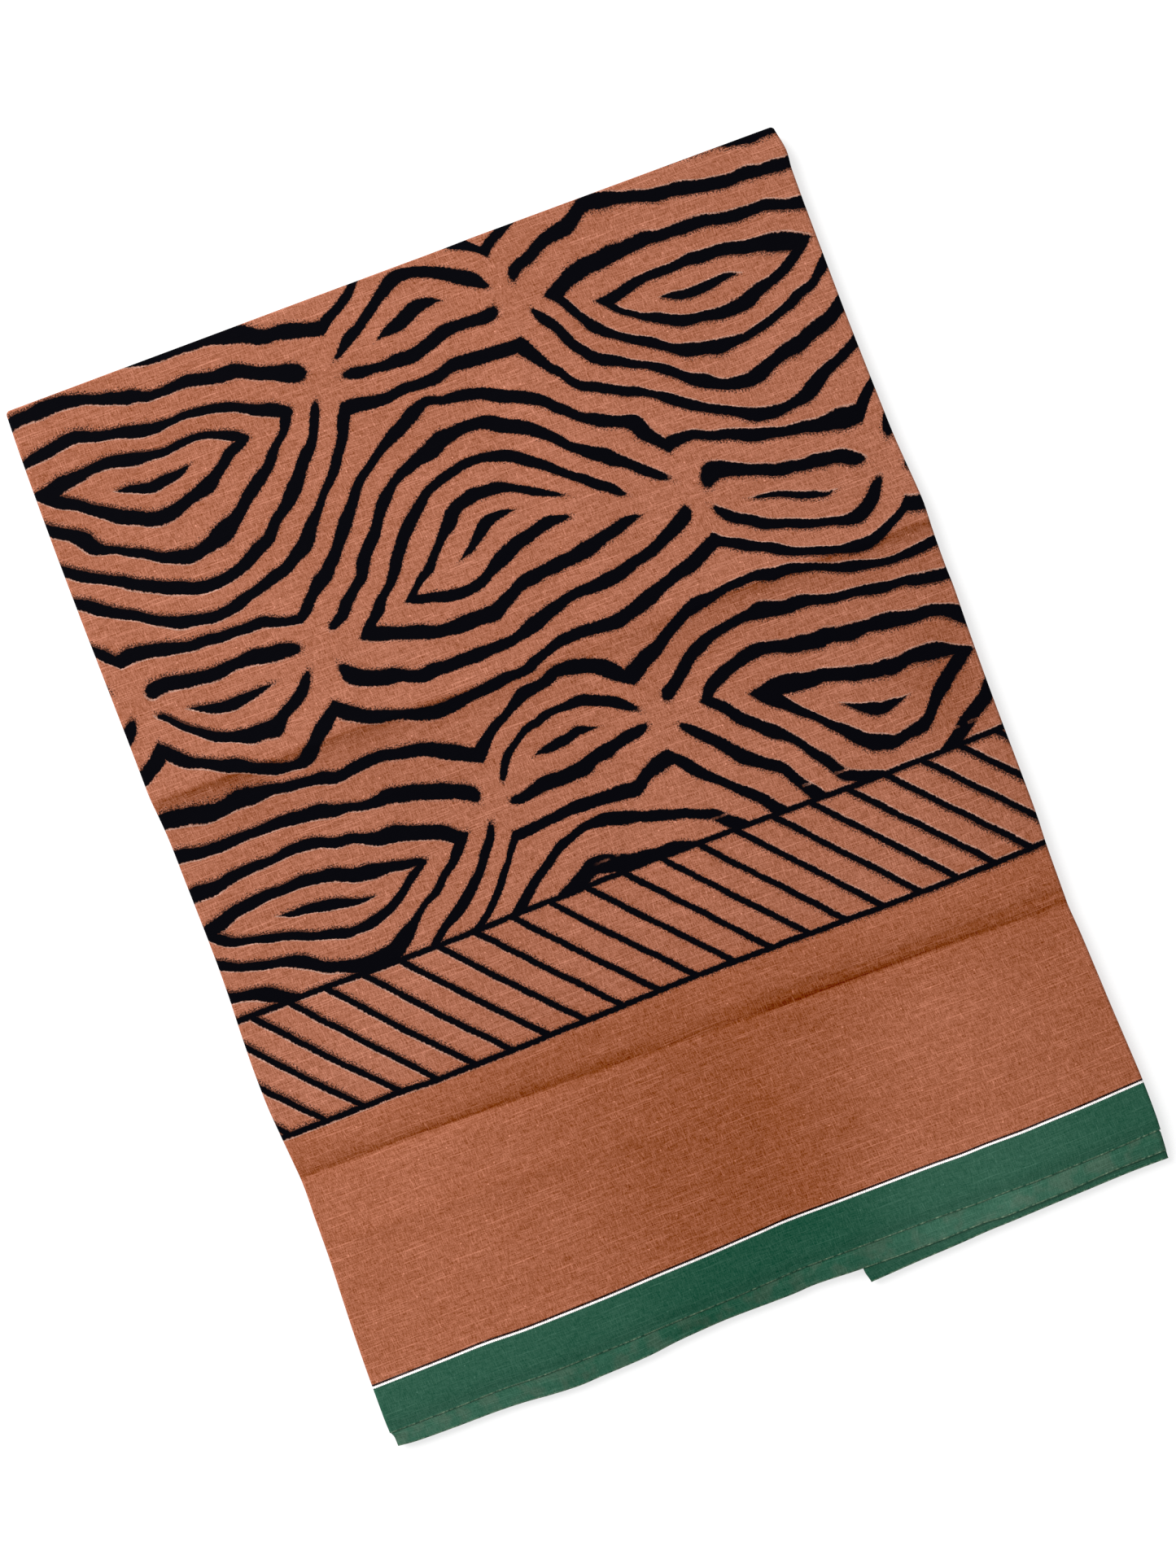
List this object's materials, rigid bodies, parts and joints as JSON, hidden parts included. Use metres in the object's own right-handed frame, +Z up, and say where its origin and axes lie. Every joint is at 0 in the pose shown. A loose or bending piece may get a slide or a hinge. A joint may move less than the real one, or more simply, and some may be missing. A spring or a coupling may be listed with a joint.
{
  "type": "folded lungi",
  "caption": "Printed cotton lungi folded flat into a rectangular pack, with a green selvedge border and a short end turned under.",
  "frame": {"origin": "on the surface that the folded cloth lies on, under the middle of its box", "axes": "+Z up; +Y up the panel, from the open selvedges to the middle fold; +X across the panel, to the right seen from above with the selvedges nearest"},
  "size_m": [0.4612, 0.6212, 0.0092],
  "materials": {
    "printed_face": "matte plain-weave cotton, face side, terracotta ground with a near-black print and a dark green border",
    "printed_reverse": "matte plain-weave cotton, reverse side, slightly paler than the face",
    "printed_layers": "matte plain-weave cotton, folded edges of the hidden plies"
  },
  "bodies": {
    "root": {"front_ply": "printed_face", "back_ply": "printed_reverse", "end_flap": "printed_face", "folded_layers": "printed_layers"}
  },
  "joints": []
}
